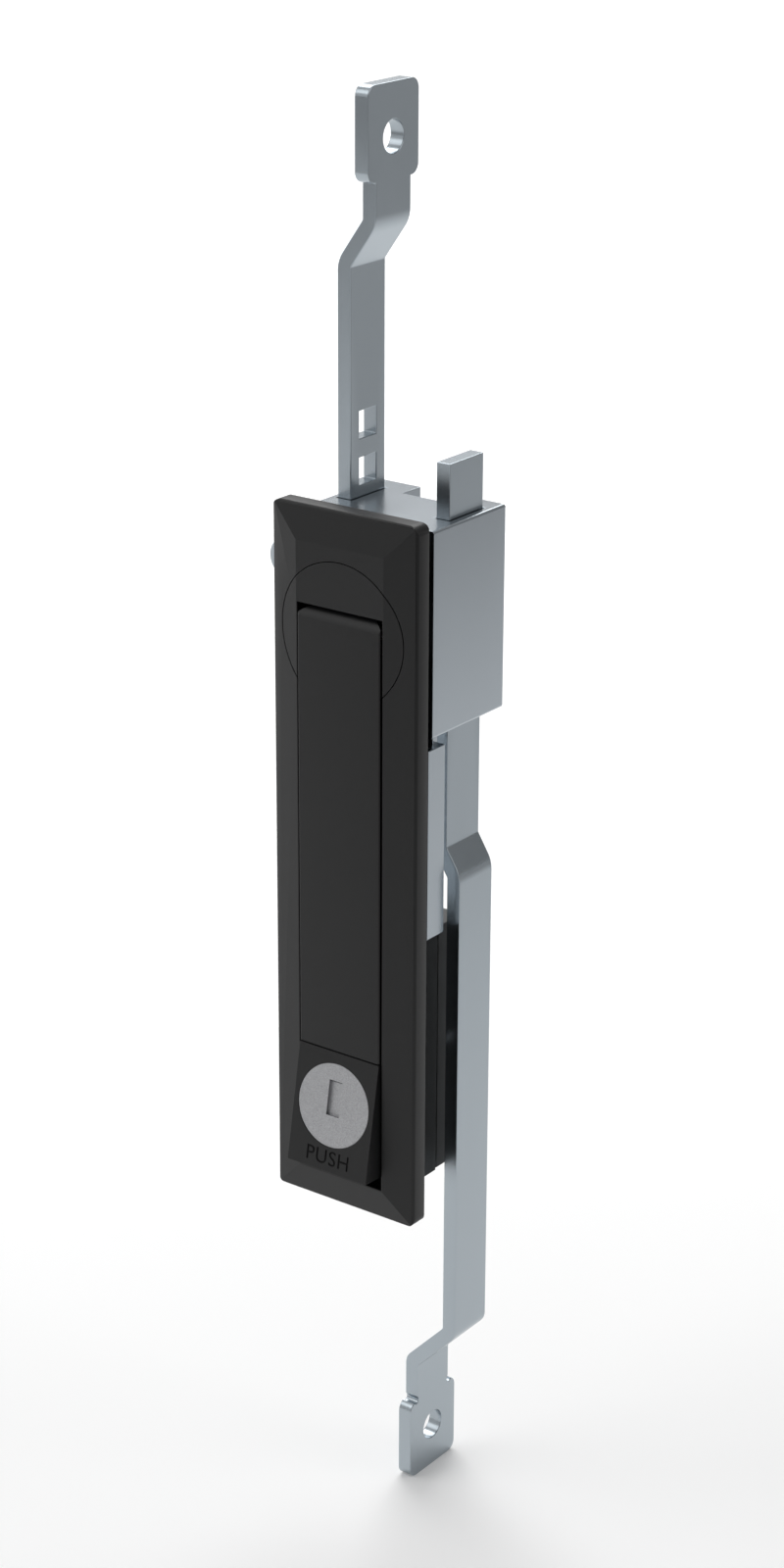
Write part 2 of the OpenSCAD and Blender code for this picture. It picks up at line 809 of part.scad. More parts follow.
module gear_case() {
    slot_half_t = rod_t / 2 + slot_gap;
    slot_half_w = rod_w / 2 + slot_gap;
    color("#8d959c") difference() {
        translate([0, 0, (case_low_z + case_top_z) / 2])
            along_y(grip, case_back_y) rounded_rect(case_w, case_h, case_edge_r);
        block(
            [case_wall - case_w / 2, grip - 1, case_low_z + case_wall],
            [case_w / 2 - case_wall, case_back_y - case_wall, case_top_z - case_wall]
        );
        for (x = [-rod_reach, rod_reach])
            block(
                [x - slot_half_t, rod_y - slot_half_w, case_low_z - 1],
                [x + slot_half_t, rod_y + slot_half_w, case_top_z + 1]
            );
        block(
            [-notch_w / 2, case_back_y - notch_d, case_top_z - case_wall - 1],
            [notch_w / 2, case_back_y + 1, case_top_z + 1]
        );
        block(
            [-notch_w / 2, case_back_y - case_wall - 1, case_top_z - notch_h],
            [notch_w / 2, case_back_y + 1, case_top_z + 1]
        );
        rod_along_y(bush_r, case_cut_y, case_back_y + 1, z = spindle_z);
        for (p = stop_places())
            rod_along_y(stop_d / 2, case_cut_y, case_back_y + 1, x = p[0], z = p[1]);
        for (s = pillar_signs) {
            z = spindle_z + s * pillar_reach;
            rod_along_y(small_screw_d / 2, case_cut_y, case_back_y + 1, z = z);
            rod_along_y(small_screw_d / 2, case_back_y - csk_d, case_back_y + eps, z = z, r2 = 2.9);
        }
    }
}

module case_screws() {
    color("#a5aaae") for (s = pillar_signs) {
        z = spindle_z + s * pillar_reach;
        difference() {
            union() {
                rod_along_y(small_screw_d / 2, case_back_y - case_screw_l, case_back_y - 0.1, z = z);
                rod_along_y(small_screw_d / 2, case_back_y - csk_d, case_back_y - 0.1, z = z, r2 = 2.7);
            }
            for (a = [0, 90])
                translate([0, case_back_y, z])
                    rotate([0, a, 0]) block([-1.7, -1, -0.35], [1.7, 1, 0.35]);
        }
    }
}

module spindle_bush() {
    color("#b08d4f") difference() {
        union() {
            rod_along_y(bush_r, case_back_y - case_wall, case_back_y, z = spindle_z);
            rod_along_y(bush_r + 1.6, case_back_y, case_back_y + bush_flange, z = spindle_z);
        }
        rod_along_y(journal_d / 2 + running_fit, case_cut_y, cam_y, z = spindle_z);
    }
}

// Places of the two stop pins: above the cam at rest, and beside it when turned
function stop_places() =
    let (aside = cam_edge(stop_reach) + stop_d / 2 + 0.35)
        [[-stop_reach, spindle_z + aside], [aside, spindle_z - stop_reach]];

// Half-width of the cam at distance d from the spindle
function cam_edge(d) = cam_hub_r * cos(cam_lean()) - (d - cam_hub_r * sin(cam_lean())) * tan(cam_lean());

// Angle at which the cam narrows from hub to tip
function cam_lean() = asin((cam_hub_r - cam_tip_r) / (cam_reach - cam_tip_r));

module cam_stops() {
    color("#a5aaae") for (p = stop_places()) {
        rod_along_y(stop_d / 2, case_back_y - case_wall, cam_back_y, x = p[0], z = p[1]);
        rod_along_y(
            stop_d / 2 + 0.6, case_back_y - case_wall - 1, case_back_y - case_wall,
            x = p[0], z = p[1]
        );
    }
}

// Points of an arc round (x, 0) between two angles
function arc(x, r, from, to, n) =
    [for (i = [0 : n]) let (a = from + (to - from) * i / n) [x + r * cos(a), r * sin(a)]];

module cam() {
    side = 90 + cam_lean();
    color("#8b9299") difference() {
        translate([0, 0, spindle_z]) along_y(cam_y, cam_back_y) polygon(concat(
            arc(0, cam_hub_r, -side, side, medium),
            arc(cam_tip_r - cam_reach, cam_tip_r, side, 360 - side, medium)
        ));
        square_along_y(cam_sq, cam_y - 1, cam_back_y + 1, z = spindle_z);
    }
}

module cam_washer() {
    color("#a9adb0") difference() {
        rod_along_y(washer_r, cam_back_y, cam_back_y + washer_t, z = spindle_z);
        rod_along_y(cam_screw_d / 2 + 0.15, cam_back_y - 1, cam_back_y + 3, z = spindle_z);
    }
}

module cam_screw() {
    head_y = cam_back_y + washer_t;
    color("#a5aaae") {
        translate([0, head_y, spindle_z])
            rotate([-90, 0, 0]) cylinder(h = cam_head_h, r = cam_head_r, $fn = 6);
        rod_along_y(cam_screw_d / 2, cam_back_y - cam_screw_l, head_y + 1, z = spindle_z);
    }
}

module handle() {
    section = [
        [-handle_w / 2, face_y + 0.3], [0.3 - handle_w / 2, face_y], [handle_w / 2 - 0.3, face_y],
        [handle_w / 2, face_y + 0.3], [handle_w / 2, flat_y],
        [flank(keel_y), keel_y], [-flank(keel_y), keel_y], [-handle_w / 2, flat_y]
    ];
    color("#343538") difference() {
        union() {
            intersection() {
                along_z(handle_low_z - 1, hinge_z + head_r + 1) polygon(section);
                union() {
                    along_x(-handle_w, handle_w) polygon([
                        [face_y, handle_low_z], [face_y, hinge_z], [under_y, hinge_z],
                        [under_y, keel_top_z], [keel_y, keel_top_z - 1.2],
                        [keel_y, handle_end_z(keel_y)]
                    ]);
                    rod_along_x(head_r, 2 * handle_w, hinge_y, hinge_z);
                }
            }
            rod_along_x(knuckle_r, knuckle_w, hinge_y, hinge_z);
        }
        rod_along_x(hinge_pin_d / 2 + running_fit, 2 * handle_w, hinge_y, hinge_z);
        rod_along_x(spring_pocket_r, spring_pocket_w, hinge_y, hinge_z);
        block(
            [-lever_half - lever_gap, tooth_y[0] - lever_gap, handle_low_z - 1],
            [lever_half + lever_gap, tooth_y[1] + lever_gap, handle_low_z + 3]
        );
    }
}

module handle_pin() {
    color("#a5aaae") rod_along_x(hinge_pin_d / 2, hinge_pin_l, hinge_y, hinge_z);
}

module handle_spring() {
    turns = 7;
    wire = hinge_spring_wire;
    color("#b4b8bb") translate([-turns * wire / 2, hinge_y, hinge_z])
        rotate([0, 90, 0]) coil(hinge_spring_r, wire, wire + 0.02, turns, steps = 16);
}

// Square window in a rod, n pitches from the spindle
module rod_window(x, n, offset) {
    z = spindle_z + n * pitch + offset;
    block(
        [x - rod_t, rod_y - window / 2, z - window / 2],
        [x + rod_t, rod_y + window / 2, z + window / 2]
    );
}

// Paddle on a rod's end, with its hole and any relief notches at its neck
module paddle(x, z_neck, z_end, z_eye, relief = 0) {
    mid = (z_neck + z_end) / 2;
    out = sign(z_end - z_neck);
    difference() {
        union() {
            along_x(x - rod_t / 2, x + rod_t / 2)
                translate([rod_y, mid]) rounded_rect(paddle_w, abs(z_end - z_neck), paddle_r);
            children();
        }
        if (relief > 0)
            for (s = [-1, 1])
                translate([x, rod_y + s * (rod_w / 2 + relief / 2), z_neck - out * relief / 4])
                    rotate([0, 90, 0]) cylinder(h = 2 * rod_t, r = relief, center = true, $fn = medium);
        translate([x, rod_y, z_eye])
            rotate([0, 90, 0]) cylinder(h = 2 * rod_t, r = eye_r, center = true, $fn = fine);
    }
}

module upper_rod() {
    x0 = -rod_reach;
    x1 = x0 + upper_set;
    path = [
        [x0, upper_stub_z], [x0, upper_joggle_z],
        [x1, upper_joggle_z + upper_joggle_h], [x1, upper_neck_z + 2 * paddle_r]
    ];
    color("#8c949b") difference() {
        paddle(x1, upper_neck_z, upper_end_z, upper_eye_z)
            along_y(rod_y - rod_w / 2, rod_y + rod_w / 2)
                polygon(strip(path, rod_t, [bend_r, bend_r]));
        for (n = [0 : 4])
            rod_window(x0, n, -mesh_offset);
    }
}

module lower_rod() {
    x0 = rod_reach;
    x1 = x0 + lower_set_out;
    x2 = x1 - lower_set_in;
    path = [
        [x0, lower_stub_z], [x0, lower_joggle_z], [x1, lower_joggle_z - lower_joggle_h],
        [x1, lower_kick_z], [x2, lower_kick_z - lower_kick_h], [x2, lower_neck_z - 2 * paddle_r]
    ];
    color("#8c949b") difference() {
        paddle(x2, lower_neck_z, lower_end_z, lower_eye_z, relief_r)
            along_y(rod_y - rod_w / 2, rod_y + rod_w / 2)
                polygon(strip(path, rod_t, [bend_r, bend_r, kick_r, kick_r]));
        for (n = [-2 : 0])
            rod_window(x0, n, mesh_offset);
    }
}

module clamp_bracket() {
    w = bracket_w / 2;
    color("#8d959c") difference() {
        union() {
            block([-w, grip, bracket_low_z], [w, bracket_back_y, bracket_top_z]);
            block(
                [-bracket_tab_half, bracket_seat_y - 0.2, bracket_top_z - 1],
                [bracket_tab_half, bracket_back_y, case_low_z - bracket_tab_gap]
            );
        }
        block(
            [bracket_wall - w, grip - 1, bracket_low_z - 1],
            [w - bracket_wall, bracket_seat_y, case_low_z]
        );
        for (z = bracket_screw_z)
            rod_along_y(bracket_screw_d / 2 + 0.2, bracket_seat_y - 1, bracket_back_y + 1, z = z);
    }
}

// Pan-head screw along Y with a cross recess, its head behind y_seat
module pan_screw(x, z, d, y_tip, y_seat) {
    head_r = d;
    head_h = 0.62 * d;
    difference() {
        union() {
            rod_along_y(d / 2, y_tip, y_seat + eps, x = x, z = z);
            rod_along_y(head_r, y_seat, y_seat + head_h / 2, x = x, z = z);
            rod_along_y(head_r, y_seat + head_h / 2, y_seat + head_h, x = x, z = z, r2 = 0.7 * head_r);
        }
        for (a = [0, 90])
            translate([x, y_seat + head_h, z])
                rotate([0, a, 0]) block([-d / 2, -head_h / 2, -d / 8], [d / 2, head_h, d / 8]);
    }
}

module bracket_screws() {
    color("#a5aaae") for (z = bracket_screw_z)
        pan_screw(0, z, bracket_screw_d, bracket_screw_tip, bracket_back_y);
}

module housing_cover() {
    w = cover_w / 2;
    color("#2a2b2d") difference() {
        union() {
            block([-w, housing_d + cover_groove, cover_low_z], [w, cover_back, cover_top_z]);
            block(
                [cover_lip - w, housing_d, cover_low_z + cover_lip],
                [w - cover_lip, housing_d + cover_groove + eps, cover_top_z]
            );
        }
        block(
            [cover_wall - w, housing_d - 1, cover_low_z + cover_ends[1]],
            [w - cover_wall, cover_back - cover_wall, cover_top_z - cover_ends[0]]
        );
        for (x = [-cover_screw_x, cover_screw_x], z = cover_screw_z) {
            rod_along_y(small_screw_d / 2 + 0.15, housing_d - 1, cover_back + 1, x = x, z = z);
            rod_along_y(small_screw_d + 0.2, cover_seat_y, cover_back + 1, x = x, z = z);
        }
    }
}

module cover_screws() {
    color("#a5aaae") for (x = [-cover_screw_x, cover_screw_x], z = cover_screw_z)
        pan_screw(x, z, small_screw_d, housing_d - cover_screw_l, cover_seat_y);
}

module button_pin() {
    color("#a5aaae") rod_along_x(pivot_pin_d / 2, housing_w - 0.2, pivot_depth, pivot_z);
}

module return_spring() {
    turns = 6;
    wire = 0.8;
    lead = (arm_y - floor_y - wire) / turns;
    color("#b4b8bb") translate([0, floor_y + wire / 2, spring_z])
        rotate([-90, 0, 0]) coil(3, wire, lead, turns);
}

module push_button() {
    top = button_top_z;
    color("#2f3033") difference() {
        union() {
            difference() {
                along_x(-button_w / 2, button_w / 2) polygon([
                    [-button_top_depth, top], [-button_low_depth, button_low_z],
                    [button_heel_y, button_low_z - 0.4], [button_shoulder_y, top - 1],
                    [button_back_y, top + end_draft * (button_back_y + button_top_depth)]
                ]);
                along_x(button_wall - button_w / 2, button_w / 2 - button_wall) polygon([
                    [button_wall - button_top_depth - 0.4, top - button_wall],
                    [button_wall - button_low_depth + 0.4, button_low_z + button_wall],
                    [0, button_low_z + button_wall - 0.5], [0, top - button_wall]
                ]);
            }
            on_face() rod_along_y(barrel_d / 2 + 1.8, 1, boss_l);
            for (s = [0, 1])
                mirror([s, 0, 0]) {
                    along_x(lug_half - lug_t, lug_half)
                        polygon([
                            [-6, top - 1.2], [pivot_depth, pivot_z + 3.4],
                            [pivot_depth, pivot_z - 3.9], [-6, pivot_z - 4]
                        ]);
                    translate([lug_half - lug_t / 2, 0, 0])
                        rod_along_x(4, lug_t, pivot_depth, pivot_z);
                }
        }
        on_face() {
            rod_along_y(key_face_d / 2 + running_fit, -3, key_sunk + key_face_t + 0.1);
            rod_along_y(barrel_d / 2, 0, barrel_l);
        }
        rod_along_x(pivot_pin_d / 2 + running_fit, housing_w, pivot_depth, pivot_z);
        block(
            [-lever_half - lever_gap, tooth_y[0] - lever_gap - 0.1, top - 3],
            [lever_half + lever_gap, floor_y + 1, top + 3]
        );
    }
}

module catch_lever() {
    z_end = handle_end_z(tooth_y[0]) - lever_gap;
    color("#a0a5a9") difference() {
        union() {
            rod_along_x(4, 2 * lever_half, pivot_depth, pivot_z);
            along_x(-lever_half, lever_half) polygon([
                [tooth_y[0], z_end], [tooth_y[1], z_end + (tooth_y[1] - tooth_y[0]) * end_draft],
                [tooth_y[1], z_end - 1.4],
                [arm_y, pivot_z + 2.5], [arm_y, arm_top_z], [arm_y + arm_t, arm_top_z],
                [arm_y + arm_t, pivot_z + 3], [pivot_depth + 3.4, pivot_z - 2],
                [pivot_depth - 1, pivot_z - 1.5], [tooth_y[0], pivot_z + 0.6]
            ]);
            rod_along_y(1.8, arm_y - 2, arm_y + eps, z = spring_z);
        }
        rod_along_x(pivot_pin_d / 2 + running_fit, 3 * lever_half, pivot_depth, pivot_z);
    }
}

module cylinder_barrel() {
    color("#b5b5b0") on_face() difference() {
        rod_along_y(barrel_d / 2, key_sunk + key_face_t + 0.1, barrel_l);
        rod_along_y(stem_d / 2 + running_fit, 0, barrel_l + 1);
        difference() {
            rod_along_y(barrel_d, boss_l + 0.1, boss_l + 0.1 + clip_t);
            rod_along_y(barrel_d / 2 - 0.8, boss_l, boss_l + 2 * clip_t);
        }
    }
}

module barrel_clip() {
    color("#3a3b3d") on_face() difference() {
        rod_along_y(barrel_d / 2 + 1.6, boss_l + 0.1, boss_l + 0.1 + clip_t);
        rod_along_y(barrel_d / 2 - 0.8, boss_l, boss_l + 2 * clip_t);
        block([-4, boss_l, -barrel_d], [4, boss_l + 2 * clip_t, 0]);
    }
}

module key_plug() {
    color("#9a9b9e") on_face() difference() {
        union() {
            rod_along_y(key_face_d / 2, key_sunk, key_sunk + key_face_t);
            rod_along_y(stem_d / 2, key_sunk + key_face_t - eps, barrel_l + 0.2);
            intersection() {
                square_along_y(stem_sq, barrel_l, barrel_l + 0.2 + tongue_t);
                rod_along_y(stem_d / 2, barrel_l, barrel_l + 0.2 + tongue_t);
            }
        }
        block(
            [-slot_w / 2, -1, slot_rise - slot_l / 2],
            [slot_w / 2, key_sunk + slot_depth, slot_rise + slot_l / 2]
        );
        block(
            [-slot_w / 2, -1, slot_rise + slot_l / 2 - nick_h],
            [slot_w / 2, key_sunk + nick_depth, slot_rise + slot_l / 2]
        );
        rod_along_y(small_screw_d / 2, barrel_l - tongue_screw_l - 1, barrel_l + 5);
    }
}

module lock_tongue() {
    y0 = barrel_l + 0.2;
    color("#9aa0a6") on_face() difference() {
        union() {
            rod_along_y(6.2, y0, y0 + tongue_t);
            block([-3.5, y0, -9], [3.5, y0 + tongue_t, 0]);
        }
        square_along_y(stem_sq, y0 - 1, y0 + tongue_t + 1);
    }
}

module tongue_screw() {
    color("#a5aaae") on_face() pan_screw(
        0, 0, small_screw_d, barrel_l - tongue_screw_l, barrel_l + 0.2 + tongue_t
    );
}

faceplate_casting();
panel_gasket();
mount_plate();
gear_case();
case_pillars();
case_screws();
spindle_bush();
cam_stops();
clamp_bracket();
bracket_screws();
housing_cover();
cover_screws();
button_pin();
return_spring();
turret();
turret_clip();
spindle();
spindle_screw();
pinion();
cam();
cam_washer();
cam_screw();
handle_spring();
handle_pin();
handle();
upper_rod();
lower_rod();
push_button();
catch_lever();
cylinder_barrel();
barrel_clip();
key_plug();
lock_tongue();
tongue_screw();
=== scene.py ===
"""Looks of a multi-point rod control lock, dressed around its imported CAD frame.

Every length is in metres, in the frame of the CAD model: +X right and +Z up as seen from
outside the cabinet, and +Y into it. The origin is the middle of the faceplate's seat.
"""

from __future__ import annotations

import json
import logging
import math
from dataclasses import dataclass, field
from enum import Enum

import bpy
from mathutils import Matrix, Vector

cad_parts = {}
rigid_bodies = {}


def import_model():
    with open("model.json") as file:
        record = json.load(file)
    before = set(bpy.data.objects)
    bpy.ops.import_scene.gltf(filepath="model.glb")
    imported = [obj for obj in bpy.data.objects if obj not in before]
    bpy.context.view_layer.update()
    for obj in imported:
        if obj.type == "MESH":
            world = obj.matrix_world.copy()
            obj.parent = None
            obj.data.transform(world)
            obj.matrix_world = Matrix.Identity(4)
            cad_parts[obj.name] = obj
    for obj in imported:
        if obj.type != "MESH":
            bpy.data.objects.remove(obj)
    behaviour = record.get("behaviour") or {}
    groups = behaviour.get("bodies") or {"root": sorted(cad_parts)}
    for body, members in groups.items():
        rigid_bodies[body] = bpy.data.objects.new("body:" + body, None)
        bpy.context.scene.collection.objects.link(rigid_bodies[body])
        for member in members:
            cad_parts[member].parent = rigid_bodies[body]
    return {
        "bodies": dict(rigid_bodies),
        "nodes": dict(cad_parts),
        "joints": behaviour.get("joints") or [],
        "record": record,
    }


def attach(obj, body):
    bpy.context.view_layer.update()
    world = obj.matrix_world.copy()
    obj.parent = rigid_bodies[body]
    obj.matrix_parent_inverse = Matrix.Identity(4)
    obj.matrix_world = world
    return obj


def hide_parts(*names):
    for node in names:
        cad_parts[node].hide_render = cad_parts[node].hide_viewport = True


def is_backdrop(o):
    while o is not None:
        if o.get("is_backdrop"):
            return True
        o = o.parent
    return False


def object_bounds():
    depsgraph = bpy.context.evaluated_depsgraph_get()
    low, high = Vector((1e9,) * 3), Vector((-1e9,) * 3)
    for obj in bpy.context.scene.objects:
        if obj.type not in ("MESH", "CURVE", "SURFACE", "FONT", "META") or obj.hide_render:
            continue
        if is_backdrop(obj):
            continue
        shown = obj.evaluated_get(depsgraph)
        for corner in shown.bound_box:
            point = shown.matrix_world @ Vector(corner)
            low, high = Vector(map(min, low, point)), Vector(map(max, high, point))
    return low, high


LOG = logging.getLogger("rod_control_lock")
MM = 0.001
Colour = tuple[float, float, float]
Point = tuple[float, float, float]
Span = tuple[float, float]
NOISE_MEAN = 0.5


class Slot(Enum):
    """Material slots of the record."""

    BLACK_COAT = "black_coat"
    BLACK_RUBBER = "black_rubber"
    BLACK_PLASTIC = "black_plastic"
    ZINC_SHEET = "zinc_sheet"
    ZINC_BAR = "zinc_bar"
    ZINC_FASTENER = "zinc_fastener"
    TURNED_STEEL = "turned_steel"
    SPRING_STEEL = "spring_steel"
    BRONZE = "bronze"
    SATIN_NICKEL = "satin_nickel"


class Rolling(Enum):
    """Direction in which a sheet or bar was rolled, as scales of a noise along X, Y and Z."""

    UPRIGHT = (1.0, 1.0, 0.04)
    NONE = (1.0, 1.0, 1.0)


class ShaderBench:
    """A node tree with short calls that add and join nodes."""

    def __init__(self, tree: bpy.types.NodeTree) -> None:
        """Takes the tree to work on.

        Args:
            tree: The node tree of a material, a world or a group.
        """
        self.tree = tree

    def add(self, kind: str, **settings: object) -> bpy.types.Node:
        """Adds a node.

        Args:
            kind: The node's type name.
            **settings: Properties of the node.

        Returns:
            The new node.
        """
        node = self.tree.nodes.new(kind)
        for name, value in settings.items():
            setattr(node, name, value)
        return node

    def feed(self, node: bpy.types.Node, socket: str | int, source: object) -> None:
        """Gives an input a value, or joins it to another node's output.

        Args:
            node: The node that is fed.
            socket: The input's name or number.
            source: A value, or an output socket.
        """
        if isinstance(source, bpy.types.NodeSocket):
            self.tree.links.new(source, node.inputs[socket])
        else:
            node.inputs[socket].default_value = source

    def maths(self, operation: str, a: object, b: object) -> bpy.types.NodeSocket:
        """Adds a Math node.

        Args:
            operation: Its operation.
            a: First value or socket.
            b: Second value or socket.

        Returns:
            The result's socket.
        """
        node = self.add("ShaderNodeMath", operation=operation)
        self.feed(node, 0, a)
        self.feed(node, 1, b)
        return node.outputs[0]

    def noise(self, vector: object, scale: object, detail: float = 2.0) -> bpy.types.NodeSocket:
        """Adds a noise texture.

        Args:
            vector: Socket with the place.
            scale: Scale, as a value or socket.
            detail: Octaves of the noise.

        Returns:
            The noise's value, from 0 to 1.
        """
        node = self.add("ShaderNodeTexNoise")
        self.feed(node, "Vector", vector)
        self.feed(node, "Scale", scale)
        self.feed(node, "Detail", detail)
        return node.outputs[0]

    def fade(self, source: bpy.types.NodeSocket, reach: Span, ends: Span) -> bpy.types.NodeSocket:
        """Fades smoothly from one value to another.

        Args:
            source: Socket with the number that the fade follows.
            reach: Numbers at which the fade begins and ends.
            ends: Values at its beginning and at its end.

        Returns:
            The value's socket.
        """
        node = self.add("ShaderNodeMapRange", interpolation_type="SMOOTHSTEP")
        self.feed(node, "Value", source)
        for socket, value in zip(("From Min", "From Max", "To Min", "To Max"), (*reach, *ends)):
            self.feed(node, socket, value)
        return node.outputs[0]


class SharedEffects:
    """Node groups that several finishes use.

    Attributes:
        GRAIN_OCTAVES: Octaves of the fine relief's noise.
        DRIFT_OCTAVES: Octaves of the noise behind slow changes.
        WIDE_RELIEF: Scale of the wider relief, as a share of the fine relief's.
    """

    GRAIN_OCTAVES = 3.0
    DRIFT_OCTAVES = 4.0
    WIDE_RELIEF = 0.21

    def __init__(self) -> None:
        """Builds the groups once."""
        self.grain = self._grain()
        self.drift = self._drift()

    @staticmethod
    def _group(name: str, inputs: dict[str, str], outputs: dict[str, str]) -> bpy.types.NodeTree:
        """Makes an empty group with named sockets.

        Args:
            name: The group's name.
            inputs: Socket type by input name.
            outputs: Socket type by output name.

        Returns:
            The group's tree.
        """
        tree = bpy.data.node_groups.new(name, "ShaderNodeTree")
        for label, kind in inputs.items():
            tree.interface.new_socket(label, in_out="INPUT", socket_type=kind)
        for label, kind in outputs.items():
            tree.interface.new_socket(label, in_out="OUTPUT", socket_type=kind)
        return tree

    def _grain(self) -> bpy.types.NodeTree:
        """Builds the group for fine surface relief.

        Returns:
            A group that gives the relief's height.
        """
        tree = self._group(
            "surface_grain",
            {
                "Vector": "NodeSocketVector",
                "Scale": "NodeSocketFloat",
                "Coarse share": "NodeSocketFloat",
            },
            {"Height": "NodeSocketFloat"},
        )
        bench = ShaderBench(tree)
        given = bench.add("NodeGroupInput")
        result = bench.add("NodeGroupOutput")
        vector, scale = given.outputs["Vector"], given.outputs["Scale"]
        fine = bench.noise(vector, scale, self.GRAIN_OCTAVES)
        wide = bench.noise(vector, bench.maths("MULTIPLY", scale, self.WIDE_RELIEF))
        part = bench.maths("MULTIPLY", wide, given.outputs["Coarse share"])
        bench.feed(result, "Height", bench.maths("ADD", fine, part))
        return tree

    def _drift(self) -> bpy.types.NodeTree:
        """Builds the group for slow changes of tone.

        Returns:
            A group that gives a number around zero.
        """
        tree = self._group(
            "tone_drift",
            {"Vector": "NodeSocketVector", "Scale": "NodeSocketFloat", "Amount": "NodeSocketFloat"},
            {"Change": "NodeSocketFloat"},
        )
        bench = ShaderBench(tree)
        given = bench.add("NodeGroupInput")
        result = bench.add("NodeGroupOutput")
        noise = bench.noise(given.outputs["Vector"], given.outputs["Scale"], self.DRIFT_OCTAVES)
        centred = bench.maths("SUBTRACT", noise, NOISE_MEAN)
        bench.feed(result, "Change", bench.maths("MULTIPLY", centred, given.outputs["Amount"]))
        return tree


@dataclass(frozen=True)
class Finish:
    """A surface finish made from grain, tone drift and one shader.

    Attributes:
        label: The material's name.
        colour: Base colour, linear.
        roughness: Mean roughness.
        metallic: 1 for bare or plated metal.
        grain_scale: Grains for each metre.
        grain_depth: Height of the grain.
        coarse_share: Weight of the wider relief under the grain.
        tone_amount: Change of the colour's brightness.
        gloss_amount: Change of the roughness.
        drift_scale: Patches for each metre.
        rolling: Direction of the grain.
        specular: Strength of the reflection of a coated surface.
        speckle: Change of the colour's brightness from grain to grain.
    """

    label: str
    colour: Colour
    roughness: float
    metallic: float = 0.0
    grain_scale: float = 4000.0
    grain_depth: float = 0.004 * MM
    coarse_share: float = 0.5
    tone_amount: float = 0.1
    gloss_amount: float = 0.08
    drift_scale: float = 60.0
    rolling: Rolling = Rolling.NONE
    specular: float = 0.5
    speckle: float = 0.0

    def material(self, effects: SharedEffects) -> bpy.types.Material:
        """Builds the material.

        Args:
            effects: The shared node groups.

        Returns:
            The new material.
        """
        material = bpy.data.materials.new(self.label)
        material.use_nodes = True
        bench = ShaderBench(material.node_tree)
        shader = material.node_tree.nodes["Principled BSDF"]
        place = bench.add("ShaderNodeMapping")
        bench.feed(place, "Vector", bench.add("ShaderNodeTexCoord").outputs["Object"])
        bench.feed(place, "Scale", self.rolling.value)
        drift = self._placed(bench, effects.drift, place, Scale=self.drift_scale, Amount=1.0)
        grain = self._placed(
            bench, effects.grain, place,
            **{"Scale": self.grain_scale, "Coarse share": self.coarse_share},
        )
        slow = bench.maths("MULTIPLY", drift.outputs["Change"], self.tone_amount)
        mean_height = NOISE_MEAN * (1.0 + self.coarse_share)
        quick = bench.maths("SUBTRACT", grain.outputs["Height"], mean_height)
        quick = bench.maths("MULTIPLY", quick, self.speckle)
        tone = bench.maths("ADD", bench.maths("ADD", slow, quick), 1.0)
        tint = bench.add("ShaderNodeMix", data_type="RGBA", blend_type="MULTIPLY")
        bench.feed(tint, "Factor", 1.0)
        bench.feed(tint, 6, (*self.colour, 1.0))
        bench.feed(tint, 7, tone)
        bench.feed(shader, "Base Color", tint.outputs[2])
        change = bench.maths("MULTIPLY", drift.outputs["Change"], self.gloss_amount)
        bench.feed(shader, "Roughness", bench.maths("ADD", change, self.roughness))
        bump = bench.add("ShaderNodeBump")
        bench.feed(bump, "Strength", 1.0)
        bench.feed(bump, "Distance", self.grain_depth)
        bench.feed(bump, "Height", grain.outputs["Height"])
        bench.feed(shader, "Normal", bump.outputs["Normal"])
        bench.feed(shader, "Metallic", self.metallic)
        bench.feed(shader, "Specular IOR Level", self.specular)
        return material

    @staticmethod
    def _placed(
        bench: ShaderBench, group: bpy.types.NodeTree, place: bpy.types.Node, **values: float
    ) -> bpy.types.Node:
        """Places a shared group and feeds its inputs.

        Args:
            bench: The material's tree.
            group: The shared group.
            place: Mapping node that gives the place.
            **values: The group's other inputs.

        Returns:
            The group's node.
        """
        node = bench.add("ShaderNodeGroup", node_tree=group)
        bench.feed(node, "Vector", place.outputs["Vector"])
        for name, value in values.items():
            bench.feed(node, name, value)
        return node


